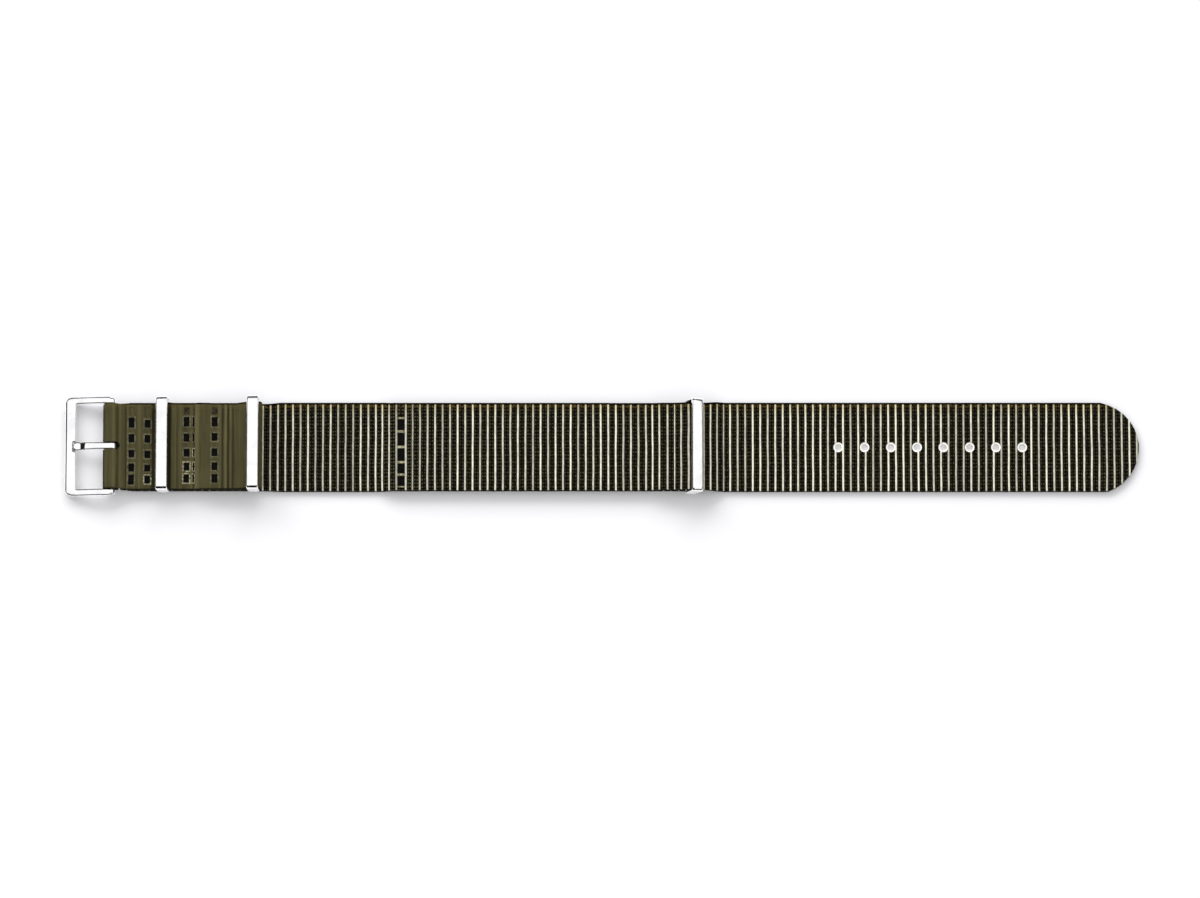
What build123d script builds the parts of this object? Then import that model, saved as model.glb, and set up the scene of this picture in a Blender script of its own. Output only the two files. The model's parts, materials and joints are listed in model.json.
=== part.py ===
from build123d import *
import os
from math import asin, atan2, cos, hypot, radians, sin, tan

# A pull-through watch strap, laid out flat on a table: +X runs from the buckle to the tip, +Y across,
# +Z up. The origin is on the table, under the middle of the whole strap. Millimetres.

# Webbing
webbing_width = 22.0
webbing_thickness = 1.2
layer_gap = 0.08  # air between layers that lie on each other and are only welded in places
bend_radius = 1.5  # of the webbing's middle, at a gentle bend

# Welds: columns of small recessed windows, pressed through the layers
window_length = 1.4
window_width = 2.0
window_depth = 0.45
weld_bite = 0.25  # how far the melted web reaches into each layer
weld_row_shares = (0.80, 0.575, 0.227, -0.136, -0.464, -0.714)  # of half the webbing's width
weld_land = 0.8  # flat webbing between a window and the next bend
weld_spacing = 4.0  # between the first two columns

# Stretches of the strap
front_keeper_land = 0.45  # flat webbing before the front keeper's hump
front_keeper_to_third_weld = 5.65
third_to_fourth_weld = 7.0
fourth_weld_to_middle_keeper = 9.8
middle_keeper_to_fifth_weld = 36.2
fifth_weld_to_end_keeper = 72.2
end_keeper_to_first_hole = 36.7
hole_spacing = 6.53
hole_count = 8
last_hole_to_tip = 29.0
hole_radius = 1.0
turned_end_lap = 1.0  # the tail's turned end past the middle of the fourth weld
under_end_lap = 6.6  # the under strap's turned end past the keeper's bar

# Tip: two arcs from the webbing's edges to the nose, the far one longer than the near one
nose_offset = 0.8  # from the middle line, towards the far edge
far_shoulder = 9.7  # from the nose back to the start of the arc
near_shoulder = 7.8
far_sagitta = 2.4
near_sagitta = 2.1

# Slopes of the webbing, in degrees
fold_slope = 35.0
front_hump_slope = 45.0
step_slope = 20.0
middle_hump_slope = 20.0
under_strap_slope = 25.0
tip_side_slope = 28.0

# Keepers
keeper_width = 2.9
keeper_bar_radius = 0.65
keeper_top_thickness = 0.9
keeper_arm_thickness = 0.4
keeper_bar_clearance = 0.15
keeper_side_clearance = 0.35
keeper_pass_clearance = 0.5  # above one more layer of webbing
keeper_corner_radius = 0.8
keeper_edge_radius = 0.25
keeper_foot_wall = 0.15  # of an arm, below the bar
keeper_foot_radius = 1.1
front_keeper_lean = -6.0  # degrees, towards the tip
middle_keeper_lean = -4.0
end_keeper_lean = 24.0
front_keeper_shift = 0.25  # towards the far edge
middle_keeper_shift = 0.25
end_keeper_shift = -0.15

# Buckle frame
outer_bar_width = 2.75
outer_bar_height = 1.95
opening_length = 6.7
arm_width = 1.55
arm_thickness = 1.5
arm_arch = 0.25  # rise of the arm's top above a straight line
frame_corner_radius = 2.0
frame_inner_corner_radius = 0.4
frame_crown_radius = 0.7
knuckle_wall = 0.5
knuckle_step = 0.3
knuckle_neck = 0.4  # from the step to the pin's middle

# Spring bar
tube_radius = 0.75
tube_wall = 0.2
tube_lip_length = 0.3
tube_end_gap = 0.1
pin_clearance = 0.05
pin_shoulder = 0.1  # from the pin out to its head
pin_head_length = 1.2
pin_engagement = 1.2
coil_wire_width = 0.18
coil_turns = 12

# Tongue
tongue_thickness = 0.75
tongue_tip_width = 2.1
tongue_neck_width = 1.85
tongue_root_width = 1.6
tongue_overlap = 0.65  # of the tip on the outer bar
tongue_flat = 1.1  # straight tip, from the outer bar to the bend
tongue_bend_radius = 3.0
tongue_curl = 285.0  # degrees round the spring bar
tongue_seat_depth = 0.35
tongue_seat_clearance = 0.15

# Clearances of the fold
fold_clearance = 0.3  # webbing round the spring bar
neck_draw = 0.35  # by which each edge is drawn in between the frame's arms
neck_taper = 2.0
frame_side_clearance = 0.15  # from the drawn-in webbing to an arm
slot_clearance = 0.15
slot_past_hinge = 2.5
cut_margin = 1.0  # how far a cutting solid runs past what it cuts

# Radii of the spring bar's parts, from the tube inwards, and of the knuckles round its pins
tube_bore_radius = tube_radius - tube_wall
pin_head_radius = tube_bore_radius - pin_clearance
pin_radius = pin_head_radius - pin_shoulder
knuckle_radius = pin_radius + pin_clearance + knuckle_wall

# Levels: the middle of the first, second and third layer above the table
layer_pitch = webbing_thickness + layer_gap
floor_level = webbing_thickness / 2
second_level = floor_level + layer_pitch
third_level = second_level + layer_pitch

# Radii of the webbing's middle
fold_radius = tube_radius + fold_clearance + webbing_thickness / 2
wrap_radius = keeper_bar_radius + keeper_bar_clearance + webbing_thickness / 2
over_wrap_radius = wrap_radius + layer_pitch

# Heights of the bars' middles
hinge_height = floor_level + fold_radius
low_bar_height = floor_level + wrap_radius
middle_bar_height = second_level + wrap_radius


def apex(bar_height, radius, slope):
    """Height of the corner whose fillet lies on a bar, where two like slopes meet above it."""
    return bar_height + radius / cos(radians(slope))


def run_down(height, slope):
    """Length along the table of a slope that drops by height."""
    return height / tan(radians(slope))


def side_corner(bar_height, radius, slope):
    """Height where a slope that lies on a bar meets the upright beside it."""
    angle = radians(slope)
    return bar_height + radius * (cos(angle) + (1 + sin(angle)) * tan(angle))


# Places along the strap, from the buckle's outer edge
fold_edge = outer_bar_width + opening_length
hinge_place = fold_edge + fold_radius + webbing_thickness / 2
fold_left = hinge_place - fold_radius
fold_corner_height = side_corner(hinge_height, fold_radius, fold_slope)
fold_foot = fold_left + run_down(fold_corner_height - second_level, fold_slope)
first_weld = fold_foot + weld_land + window_length / 2
second_weld = first_weld + weld_spacing
front_apex = apex(low_bar_height, wrap_radius, front_hump_slope)
front_hump_run = run_down(front_apex - second_level, front_hump_slope)
front_keeper = second_weld + window_length / 2 + weld_land + front_keeper_land + front_hump_run
third_weld = front_keeper + front_keeper_to_third_weld
fourth_weld = third_weld + third_to_fourth_weld
middle_keeper = fourth_weld + fourth_weld_to_middle_keeper
fifth_weld = middle_keeper + middle_keeper_to_fifth_weld
end_keeper = fifth_weld + fifth_weld_to_end_keeper
first_hole = end_keeper + end_keeper_to_first_hole
hole_places = [first_hole + n * hole_spacing for n in range(hole_count)]
tip = hole_places[-1] + last_hole_to_tip
middle = tip / 2

turned_end = fourth_weld - turned_end_lap
under_start = fifth_weld - window_length / 2 - weld_land
under_end = end_keeper - under_end_lap
under_end_weld = under_end + weld_land + window_length / 2
neck_end = hinge_place + slot_past_hinge + knuckle_neck
neck_half = webbing_width / 2 - neck_draw
frame_half = neck_half + frame_side_clearance
frame_outer_half = frame_half + arm_width
keeper_half = webbing_width / 2 + keeper_side_clearance
keeper_rise = keeper_bar_radius + keeper_bar_clearance + 2 * webbing_thickness + keeper_pass_clearance


def path_along(corners):
    """A wire in the XZ plane: straight runs joined by tangent arcs. A corner is (place, height, radius)."""
    points = [Vector(c[0], 0, c[1]) for c in corners]
    edges, start = [], points[0]
    for before, here, after, corner in zip(points, points[1:], points[2:], corners[1:]):
        back, on = (before - here).normalized(), (after - here).normalized()
        half = radians(back.get_angle(on)) / 2
        inward = (back + on).normalized()
        centre = here + inward * (corner[2] / sin(half))
        first = here + back * (corner[2] / tan(half))
        last = here + on * (corner[2] / tan(half))
        if first != start:
            edges.append(Edge.make_line(start, first))
        edges.append(Edge.make_three_point_arc(first, centre - inward * corner[2], last))
        start = last
    edges.append(Edge.make_line(start, points[-1]))
    return Wire(edges)


def strip(path, thickness, width):
    """A flat strip whose middle follows a path in the XZ plane."""
    start = Plane(origin=path @ 0, x_dir=(0, 1, 0), z_dir=path % 0)
    return sweep(start * Rectangle(width, thickness), path=path)


def block(low, high):
    """A box between its lowest and its highest corner."""
    size = Vector(*high) - Vector(*low)
    centre = (Vector(*high) + Vector(*low)) / 2
    return Pos(*centre) * Box(*size)


def seen_from_above(outline, top):
    """An outline on the table, extruded up past a height."""
    return Pos(0, 0, -cut_margin) * extrude(outline, top + 2 * cut_margin)


def seen_from_the_side(outline, half_width):
    """An outline in the XZ plane, extruded to both sides."""
    return extrude(outline, half_width, both=True)


def weld_windows(place, level):
    """The row of pockets that one weld leaves in the top layer."""
    top = level + webbing_thickness / 2
    pockets = []
    for share in weld_row_shares:
        y = share * webbing_width / 2
        low = (place - window_length / 2, y - window_width / 2, top - window_depth)
        high = (place + window_length / 2, y + window_width / 2, top + cut_margin)
        pockets.append(block(low, high))
    return pockets


def weld_web(place, level, bite_below=weld_bite):
    """The melted web across the gap under one layer, as long as the column of windows."""
    bottom = level - webbing_thickness / 2
    reach = [share * webbing_width / 2 for share in weld_row_shares]
    low = (place - window_length / 2, min(reach) - window_width / 2, bottom - layer_gap - bite_below)
    high = (place + window_length / 2, max(reach) + window_width / 2, bottom + weld_bite)
    return block(low, high)


def main_strap_outline():
    """The main strap from above: drawn in between the buckle's arms, and round at the tip."""
    half = webbing_width / 2
    neck = [(fold_edge - cut_margin, neck_half), (neck_end, neck_half), (neck_end + neck_taper, half)]
    far, near, nose = (tip - far_shoulder, half), (tip - near_shoulder, -half), (tip, nose_offset)
    edge = Polyline(near, *[(place, -y) for place, y in reversed(neck)], *neck, far, close=False)
    arcs = [SagittaArc(far, nose, -far_sagitta), SagittaArc(nose, near, -near_sagitta)]
    return make_face(Wire([*edge.edges(), *[arc.edge() for arc in arcs]]))


def main_strap():
    """The long strap, with its tail folded back over itself at the buckle."""
    left_side = middle_keeper + wrap_radius
    step = run_down(layer_pitch, step_slope)
    middle_corner = side_corner(middle_bar_height, wrap_radius, middle_hump_slope)
    middle_foot = left_side - run_down(middle_corner - third_level, middle_hump_slope)
    step_top = turned_end - weld_land / 2
    fifth_top = under_start - layer_gap
    under_step = run_down(layer_pitch, under_strap_slope)
    under_step_top = under_end - weld_land / 2
    end_left_apex = low_bar_height + over_wrap_radius / cos(radians(under_strap_slope))
    end_foot = end_keeper - run_down(end_left_apex - third_level, under_strap_slope)
    corners = [
        (turned_end, second_level),
        (left_side, second_level, wrap_radius),
        (left_side, middle_corner, wrap_radius),
        (middle_foot, third_level, bend_radius),
        (step_top, third_level, bend_radius),
        (step_top - step, second_level, bend_radius),
        (front_keeper + front_hump_run, second_level, bend_radius),
        (front_keeper, front_apex, wrap_radius),
        (front_keeper - front_hump_run, second_level, bend_radius),
        (fold_foot, second_level, bend_radius),
        (fold_left, fold_corner_height, fold_radius),
        (fold_left, floor_level, fold_radius),
        (fifth_top - step, floor_level, bend_radius),
        (fifth_top, second_level, bend_radius),
        (under_step_top - under_step, second_level, bend_radius),
        (under_step_top, third_level, bend_radius),
        (end_foot, third_level, bend_radius),
        *hump_corners(end_keeper, low_bar_height, over_wrap_radius, under_strap_slope, tip_side_slope),
        (tip, floor_level),
    ]
    strap = strip(path_along(corners), webbing_thickness, webbing_width)
    strap &= seen_from_above(main_strap_outline(), middle_corner)
    strap += weld_web(first_weld, second_level) + weld_web(second_weld, second_level)
    strap += weld_web(third_weld, second_level) + weld_web(fourth_weld, second_level)
    strap += weld_web(fourth_weld, third_level) + weld_web(fifth_weld, second_level, 0)
    levels = [(first_weld, second_level), (second_weld, second_level), (third_weld, second_level)]
    levels += [(fourth_weld, third_level), (fifth_weld, second_level)]
    for place, level in levels:
        strap -= weld_windows(place, level)
    strap -= tongue_slot()
    holes = Sketch() + [Pos(place, 0) * Circle(hole_radius) for place in hole_places]
    return strap - seen_from_above(holes, webbing_thickness)


def hump_corners(place, bar_height, radius, left_slope, right_slope):
    """The corner over a bar between two unlike slopes, and the corner at the foot of the right one."""
    left, right = radians(left_slope), radians(right_slope)
    half_turn = (left + right) / 2
    reach = radius / cos(half_turn)
    lean = (right - left) / 2
    top = (place + reach * sin(lean), bar_height + reach * cos(lean), radius)
    foot = (top[0] + run_down(top[1] - floor_level, right_slope), floor_level, bend_radius)
    return [top, foot]


def tongue_slot():
    """The slot for the tongue, through both layers of the fold, round at its far end."""
    radius = tongue_root_width / 2 + slot_clearance
    end = hinge_place + slot_past_hinge - radius
    outline = Pos(end, 0) * Circle(radius)
    start = fold_edge - cut_margin
    outline += Pos((start + end) / 2, 0) * Rectangle(end - start, 2 * radius)
    return seen_from_above(outline, fold_corner_height)


def under_strap():
    """The short strap beneath, turned round the bar of the end keeper."""
    right_side = end_keeper + wrap_radius
    corner = side_corner(low_bar_height, wrap_radius, under_strap_slope)
    foot = right_side - run_down(corner - second_level, under_strap_slope)
    corners = [
        (under_start, floor_level),
        (right_side, floor_level, wrap_radius),
        (right_side, corner, wrap_radius),
        (foot, second_level, bend_radius),
        (under_end, second_level),
    ]
    strap = strip(path_along(corners), webbing_thickness, webbing_width)
    return strap + weld_web(under_end_weld, second_level)


def keeper(place, bar_height, lean, shift):
    """A ring: flat on top, and thin arms with round feet that hold a round bar."""
    outer_half = keeper_half + keeper_arm_thickness
    height = keeper_rise + keeper_top_thickness
    foot = keeper_bar_radius + keeper_foot_wall
    front = Pos(0, (height - foot) / 2) * Rectangle(2 * outer_half, height + foot)
    front = fillet(front.vertices().group_by(Axis.Y)[-1], keeper_corner_radius)
    front -= Pos(0, (keeper_rise - foot) / 2) * Rectangle(2 * keeper_half, keeper_rise + foot)
    ring = extrude(Plane.YZ * front, keeper_width / 2, both=True)
    side = Pos(0, (height - foot) / 2) * Rectangle(keeper_width, height + foot)
    side = fillet(side.vertices().group_by(Axis.Y)[0], keeper_foot_radius)
    ring &= seen_from_the_side(Plane.XZ * side, outer_half)
    crown = ring.edges().filter_by(Axis.Y).group_by(Axis.Z)[-1]
    ring = fillet(crown, min(keeper_edge_radius, keeper_top_thickness / 3))
    ring += Rot(90, 0, 0) * Cylinder(keeper_bar_radius, 2 * keeper_half + keeper_arm_thickness)
    return Pos(place, shift, bar_height) * Rot(0, lean, 0) * ring


def frame_outline():
    """The frame from above: a U, open towards the strap, with a step to each knuckle."""
    end = hinge_place + knuckle_radius
    outline = Pos(end / 2, 0) * Rectangle(end, 2 * frame_outer_half)
    outline = fillet(outline.vertices().group_by(Axis.X)[0], frame_corner_radius)
    length = end - outer_bar_width + cut_margin
    opening = Pos(outer_bar_width + length / 2, 0) * Rectangle(length, 2 * frame_half)
    opening = fillet(opening.vertices().group_by(Axis.X)[0], frame_inner_corner_radius)
    outline -= opening
    step_start = hinge_place - knuckle_neck
    for side in (-1, 1):
        y = side * (frame_outer_half + cut_margin / 2 - knuckle_step)
        step_length = end - step_start + cut_margin
        outline -= Pos(step_start + step_length / 2, y) * Rectangle(step_length, cut_margin)
    return outline


def frame_side():
    """The frame from the side: it arches up from the outer bar to the knuckles round the pin."""
    crown, bar, pin = frame_crown_radius, outer_bar_height, hinge_height
    arm_middle = (outer_bar_width + hinge_place) / 2
    over_middle = (bar + pin + knuckle_radius) / 2 + arm_arch
    under_middle = over_middle - arm_thickness
    ends = [(crown, 0), (outer_bar_width, 0), (hinge_place, pin - knuckle_radius)]
    tops = [(hinge_place, pin + knuckle_radius), (outer_bar_width, bar), (crown, bar)]
    diagonal = crown * (1 - cos(radians(45)))
    edges = [
        Edge.make_line(ends[0], ends[1]),
        Edge.make_three_point_arc(ends[1], (arm_middle, under_middle), ends[2]),
        Edge.make_three_point_arc(ends[2], (hinge_place + knuckle_radius, pin), tops[0]),
        Edge.make_three_point_arc(tops[0], (arm_middle, over_middle), tops[1]),
        Edge.make_line(tops[1], tops[2]),
        Edge.make_three_point_arc(tops[2], (diagonal, bar - diagonal), (0, bar - crown)),
        Edge.make_line((0, bar - crown), (0, crown)),
        Edge.make_three_point_arc((0, crown), (diagonal, diagonal), ends[0]),
    ]
    return Plane.XZ * make_face(Wire(edges))


def buckle_frame():
    """The frame, with a pin hole through each knuckle and a seat for the tongue's tip."""
    frame = seen_from_above(frame_outline(), hinge_height + knuckle_radius)
    frame &= seen_from_the_side(frame_side(), frame_outer_half)
    frame -= Pos(hinge_place, 0, hinge_height) * (
        Rot(90, 0, 0) * Cylinder(pin_radius + pin_clearance, 2 * frame_outer_half + cut_margin)
    )
    seat = tongue_tip_width / 2 + tongue_seat_clearance
    floor = outer_bar_height - tongue_seat_depth
    back = outer_bar_width - tongue_overlap - tongue_seat_clearance
    return frame - block((back, -seat, floor), (outer_bar_width + cut_margin, seat, floor + cut_margin))


def tongue_path():
    """The tongue's middle: a flat tip, a slope up to the spring bar, and a curl round it."""
    radius = tube_radius + pin_clearance + tongue_thickness / 2
    tip_level = outer_bar_height - tongue_seat_depth + tongue_thickness / 2
    bend = outer_bar_width + tongue_flat
    length, rise = hinge_place - bend, hinge_height - tip_level
    slope = atan2(rise, length) + asin(radius / hypot(length, rise))
    half = slope / 2
    start = Vector(outer_bar_width - tongue_overlap, 0, tip_level)
    corner = Vector(bend, 0, tip_level)
    along = Vector(cos(slope), 0, sin(slope))
    first = corner - Vector(tongue_bend_radius * tan(half), 0, 0)
    last = corner + along * (tongue_bend_radius * tan(half))
    centre = first + Vector(0, 0, tongue_bend_radius)
    arc_middle = centre + Vector(sin(half), 0, -cos(half)) * tongue_bend_radius

    def round_bar(angle):
        turned = slope - radians(angle)
        return Vector(hinge_place, 0, hinge_height) + Vector(-sin(turned), 0, cos(turned)) * radius

    edges = [
        Edge.make_line(start, first),
        Edge.make_three_point_arc(first, arc_middle, last),
        Edge.make_line(last, round_bar(0)),
        Edge.make_three_point_arc(round_bar(0), round_bar(tongue_curl / 4), round_bar(tongue_curl / 2)),
        Edge.make_three_point_arc(
            round_bar(tongue_curl / 2), round_bar(tongue_curl * 3 / 4), round_bar(tongue_curl)
        ),
    ]
    return Wire(edges)


def tongue_outline():
    """The tongue from above: a round tip, a neck behind it, and a narrow root at the eye."""
    tip_half, neck_half, root_half = tongue_tip_width / 2, tongue_neck_width / 2, tongue_root_width / 2
    start = outer_bar_width - tongue_overlap
    end = hinge_place + tube_radius + pin_clearance + tongue_thickness + cut_margin
    neck = outer_bar_width + tongue_flat
    root = hinge_place - fold_radius
    upper = [(start + tip_half, tip_half), (neck, neck_half), (root, root_half), (end, root_half)]
    lower = [(place, -y) for place, y in reversed(upper)]
    edge = Polyline(*upper, *lower, close=False)
    return make_face(Wire([*edge.edges(), Edge.make_three_point_arc(lower[-1], (start, 0), upper[0])]))


def buckle_tongue():
    """The tongue, bent from one strip."""
    tongue = strip(tongue_path(), tongue_thickness, tongue_tip_width)
    top = hinge_height + tube_radius + pin_clearance + tongue_thickness
    return tongue & seen_from_above(tongue_outline(), top)


def across(radius, low, high):
    """A round bar along Y at the hinge."""
    bar = Rot(90, 0, 0) * Cylinder(radius, high - low)
    return Pos(hinge_place, (low + high) / 2, hinge_height) * bar


def spring_bar_tube():
    """The tube, with a lip at each end that keeps the tips in."""
    end = frame_half - tube_end_gap
    inner = end - tube_lip_length
    tube = across(tube_radius, -end, end) - across(tube_bore_radius, -inner, inner)
    return tube - across(pin_radius + pin_clearance, -end - cut_margin, end + cut_margin)


def spring_bar_tip(side):
    """A tip: a head inside the tube, and a pin through the lip into the knuckle."""
    stop = frame_half - tube_end_gap - tube_lip_length
    end = frame_half + pin_engagement
    head = sorted((side * (stop - pin_head_length), side * stop))
    pin = sorted((side * (stop - pin_head_length / 2), side * end))
    return across(pin_head_radius, *head) + across(pin_radius, *pin)


def spring_bar_coil():
    """The coil spring of square wire between the two heads."""
    room = frame_half - tube_end_gap - tube_lip_length - pin_head_length - coil_wire_width / 2
    radius = pin_head_radius - coil_wire_width / 2
    helix = Helix(pitch=2 * room / coil_turns, height=2 * room, radius=radius)
    start = Plane(origin=helix @ 0, x_dir=(1, 0, 0), z_dir=helix % 0)
    coil = sweep(start * Rectangle(coil_wire_width, coil_wire_width), path=helix, is_frenet=True)
    return Pos(hinge_place, room, hinge_height) * Rot(90, 0, 0) * coil


def write(name, shape):
    """Writes one piece, with the origin under the middle of the strap."""
    export_step(Pos(-middle, 0, 0) * shape, f"parts/{name}.step")


os.makedirs("parts", exist_ok=True)
write("main_strap", main_strap())
write("under_strap", under_strap())
write("keeper_front", keeper(front_keeper, low_bar_height, front_keeper_lean, front_keeper_shift))
write("keeper_middle", keeper(middle_keeper, middle_bar_height, middle_keeper_lean, middle_keeper_shift))
write("keeper_end", keeper(end_keeper, low_bar_height, end_keeper_lean, end_keeper_shift))
write("buckle_frame", buckle_frame())
write("buckle_tongue", buckle_tongue())
write("spring_bar_tube", spring_bar_tube())
write("spring_bar_tip_left", spring_bar_tip(1))
write("spring_bar_tip_right", spring_bar_tip(-1))
write("spring_bar_coil", spring_bar_coil())
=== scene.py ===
"""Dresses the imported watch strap: ribbed webbing with welds and punched holes, polished keepers and buckle."""

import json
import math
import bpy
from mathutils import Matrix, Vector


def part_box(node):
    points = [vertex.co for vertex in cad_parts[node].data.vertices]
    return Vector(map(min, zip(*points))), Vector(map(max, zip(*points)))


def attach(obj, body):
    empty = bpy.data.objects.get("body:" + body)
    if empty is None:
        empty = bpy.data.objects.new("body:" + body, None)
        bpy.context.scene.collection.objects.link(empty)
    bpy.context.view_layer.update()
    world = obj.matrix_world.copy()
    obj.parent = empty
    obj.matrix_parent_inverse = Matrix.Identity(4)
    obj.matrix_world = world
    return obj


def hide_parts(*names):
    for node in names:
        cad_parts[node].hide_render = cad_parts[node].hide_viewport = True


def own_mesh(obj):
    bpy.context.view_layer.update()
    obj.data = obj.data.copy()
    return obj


bl_info = {
    "name": "Pull-through watch strap",
    "version": (1, 0, 0),
    "blender": (4, 5, 0),
    "location": "3D View > Sidebar > Strap",
    "description": "Ribbed webbing, polished steel keepers and buckle, and a small studio",
    "category": "Add Mesh",
}

import bmesh
import bpy
from bpy.props import FloatProperty, FloatVectorProperty, IntProperty, PointerProperty
from mathutils import Vector

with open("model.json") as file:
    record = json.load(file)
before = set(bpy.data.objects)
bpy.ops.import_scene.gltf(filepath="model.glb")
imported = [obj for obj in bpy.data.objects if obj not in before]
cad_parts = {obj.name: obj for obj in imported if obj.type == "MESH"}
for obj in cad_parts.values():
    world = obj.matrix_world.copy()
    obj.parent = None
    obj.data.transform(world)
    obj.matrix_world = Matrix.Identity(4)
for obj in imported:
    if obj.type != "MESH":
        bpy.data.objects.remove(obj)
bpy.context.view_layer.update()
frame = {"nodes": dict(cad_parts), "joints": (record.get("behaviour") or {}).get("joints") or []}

MM = 0.001  # pieces are modelled in millimetres, and the scene is in metres


def srgb(code):
    """An sRGB hex colour as the linear one that a shader takes."""
    parts = [int(code[i : i + 2], 16) / 255 for i in (1, 3, 5)]
    return [p / 12.92 if p <= 0.04045 else ((p + 0.055) / 1.055) ** 2.4 for p in parts] + [1.0]


# The bars that the webbing turns round, from the frame's hinges
bars = {j["name"]: Vector(j["pos_m"]) / MM for j in frame["joints"] if j["type"] == "hinge"}
hinge, front_bar = bars["buckle_pivot"], bars["keeper_front_tilt"]
middle_bar, end_bar = bars["keeper_middle_tilt"], bars["keeper_end_tilt"]
strap_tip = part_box("main_strap")[1].x / MM
under_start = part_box("under_strap")[0].x / MM

# Corners of the main strap's way: those of its tail, the fold round the spring bar, and those below
TAIL, FOLD, BELOW = (2, 11), 10, (11, 20)

# Slopes of the webbing in degrees, as the solids have them: at the fold, over the first keeper's bar, where a
# layer steps down, before the end keeper and beyond it
FOLD_SLOPE, HUMP_SLOPE, STEP_SLOPE, UNDER_SLOPE, TIP_SIDE_SLOPE = 35, 45, 20, 25, 28

# Short lengths of the webbing: its turned end past the fourth weld, the flat before the step beside that end,
# the under strap's turned end before its bar, and the flat of the main strap before that end
TURNED_LAP, STEP_LAND, UNDER_LAP, UNDER_LAND = 1.0, 1.4, 6.6, 0.4
LAST_HOLE_TO_TIP = 29.0
UNDER_LAST_CORD = 1.2  # from the under strap's turned end

# The tongue's slot: its half width, and how far from the hinge it reaches in the upper and in the lower layer
SLOT_RADIUS, SLOT_ABOVE, SLOT_BELOW = 0.95, 1.75, 2.5

# Stretches of the main strap that lie wider or narrower than it was woven: from, to, corners between which they
# are looked for, and shares by which the far and the near side change. Single layers lie free and spread most.
SPREADS = [
    (middle_bar.x + 3.5, under_start - 0.5, BELOW, 0.027, 0.015),
    (end_bar.x + 3.5, strap_tip, BELOW, 0.027, 0.015),
    (under_start - 3.5, end_bar.x - 8, BELOW, 0.004, 0.015),
    (middle_bar.x - 1, front_bar.x + 9, TAIL, -0.022, 0.01),
]

# Near the end keeper the webbing leans to its near side: from, share of its height, and height where it begins
LEAN_FROM, LEAN_SHARE, LEAN_LEVEL = end_bar.x - 20, 0.09, 1.6

TIP_LIFT = 0.04  # of the tongue's tip above the frame

LAMP_PLACE, LAMP_SIZE, LAMP_POWER = (-0.55, 1.75, 0.98), (3.0, 1.2), 50.0
MIRRORED_ACROSS = 0.177  # part across of the direction that a level face mirrors to the camera

# Welds: place along the strap, and windows (across, width). A cream window has cord melted into its rim.
WELDS = [
    (hinge.x + 4.905, ((6.0, 2.6), (2.05, 2.2), (-1.85, 1.95), (-5.35, 2.1), (-8.4, 2.6))),
    (hinge.x + 8.905, ((5.7, 2.05), (1.9, 2.0), (-2.05, 1.95), (-5.5, 1.75), (-8.4, 2.05))),
    (front_bar.x + 5.65, ((6.2, 2.5), (2.2, 2.1), (-1.6, 2.0), (-5.1, 2.1), (-8.1, 2.2))),
    (front_bar.x + 12.65, ((6.1, 2.5), (2.2, 2.1), (-1.7, 2.0), (-5.2, 2.0), (-8.2, 2.2))),
]
CREAM_WINDOWS = ((1, -8.4), (2, -5.1), (2, -8.1))
THIRD_WELD_SLIT = (front_bar.x + 7.45, 0.55)  # a second, narrow print of the tool beside the third weld
FIFTH_WELD = (middle_bar.x + 36.35, ((5.5, 2.95), (1.83, 3.4), (-2.03, 3.3), (-5.46, 2.6), (-8.57, 2.6)))
FAINT_WINDOW = (8.9, 1.85)  # a sixth, shallower one at the far edge of each weld

# Creases of the tail's back, each with painted shade: place along the strap, half width, and height above the
# back
# A hollow is painted darker and a ridge lighter; the deepest hollows paint the shade at the fold and beside the
# front keeper.
SHADED_CREASES = [
    (-123.10, 0.40, -0.26),
    (-121.15, 0.25, 0.04),
    (-120.52, 0.22, -0.04),
    (-119.70, 0.70, 0.05),
    (-118.40, 0.25, -0.06),
    (-117.95, 0.25, 0.04),
    (-114.90, 0.25, 0.03),
    (-111.20, 0.40, -0.16),
    (-107.75, 0.40, -0.20),
    (-106.60, 0.80, 0.06),
    (-105.50, 0.22, -0.05),
    (-104.90, 0.40, 0.05),
    (-101.80, 0.25, 0.05),
    (-101.20, 0.22, -0.08),
    (-100.45, 0.50, 0.06),
    (-94.75, 0.25, 0.05),
    (-94.20, 0.22, -0.09),
    (-93.45, 0.30, 0.06),
    (-92.75, 0.22, -0.09),
    (-92.20, 0.30, 0.05),
    (-91.65, 0.22, -0.06),
]


def length(name, text, millimetres):
    """A length property, given in millimetres."""
    return FloatProperty(name=name, description=text, default=millimetres * MM, unit="LENGTH", precision=5)


def colour(name, text, code):
    """A colour property, given as an sRGB hex value."""
    looks = {"size": 4, "subtype": "COLOR", "min": 0, "max": 1}
    return FloatVectorProperty(name=name, description=text, default=srgb(code), **looks)


class StrapWebbing(bpy.types.PropertyGroup):
    """Sizes and colours of the webbing."""

    width: length("Width", "Across the webbing", 22.0)
    thickness: length("Thickness", "Over the cords", 1.2)
    gap: length("Layer gap", "Air between two layers", 0.08)
    bend: length("Bend radius", "Of the middle, at a gentle bend", 1.5)
    pitch: length("Cord pitch", "From one pale cord to the next", 1.8714)
    cord: length("Cord width", "Across one pale cord", 0.54)
    cord_height: length("Cord height", "Of a cord above the dark band", 0.13)
    ridge: length("Back ridge", "Of the back's ribs above its ground", 0.05)
    edge: length("Edge radius", "Of the woven edge", 0.3)
    neck_draw: length("Neck", "By which each edge is drawn in at the buckle", 0.35)
    last_cord: length("Last cord", "Its distance from the tip", 2.39)
    cord_colour: colour("Cords", "Undyed polyester cord", "#f3f0da")
    band_colour: colour("Bands", "Dark bands between the cords", "#0f0d04")
    tick_colour: colour("Ticks", "Yarn that shows on the dark bands", "#4c4738")
    back_colour: colour("Back", "Olive back of the webbing", "#4a462e")


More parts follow.
